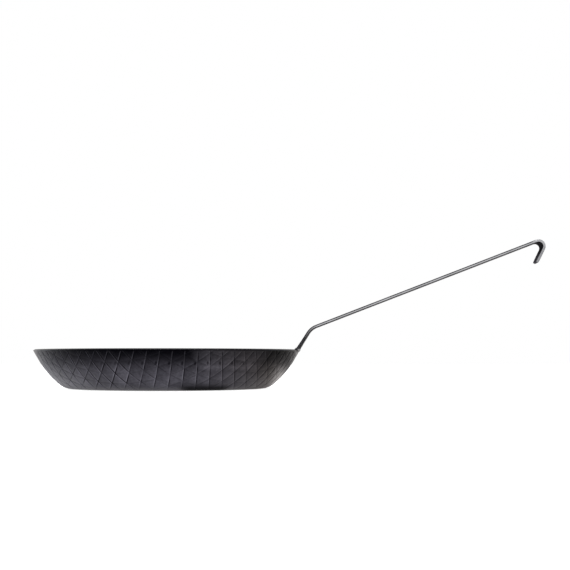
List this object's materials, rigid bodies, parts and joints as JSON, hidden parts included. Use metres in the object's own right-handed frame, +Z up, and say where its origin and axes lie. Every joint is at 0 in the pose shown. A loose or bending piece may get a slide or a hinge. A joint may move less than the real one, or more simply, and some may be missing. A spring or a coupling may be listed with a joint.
{
  "type": "frying pan",
  "caption": "Round flared iron frying pan with a long strap handle that rises from the lip and ends in a hanging hook.",
  "frame": {"origin": "centre of the underside of the base", "axes": "+X along the handle, towards the hook; +Z up out of the bowl; +Y to the left of the handle"},
  "size_m": [0.5362, 0.28, 0.1549],
  "materials": {
    "bowl_iron": "blackened forged iron, satin, with scored lines outside",
    "strap_iron": "blackened forged iron with bright ground edges",
    "weld_metal": "dressed weld, scaled and satin"
  },
  "bodies": {
    "root": {"bowl": "bowl_iron", "handle": "strap_iron", "weld_bead_inner": "weld_metal", "weld_bead_outer": "weld_metal"}
  },
  "joints": []
}
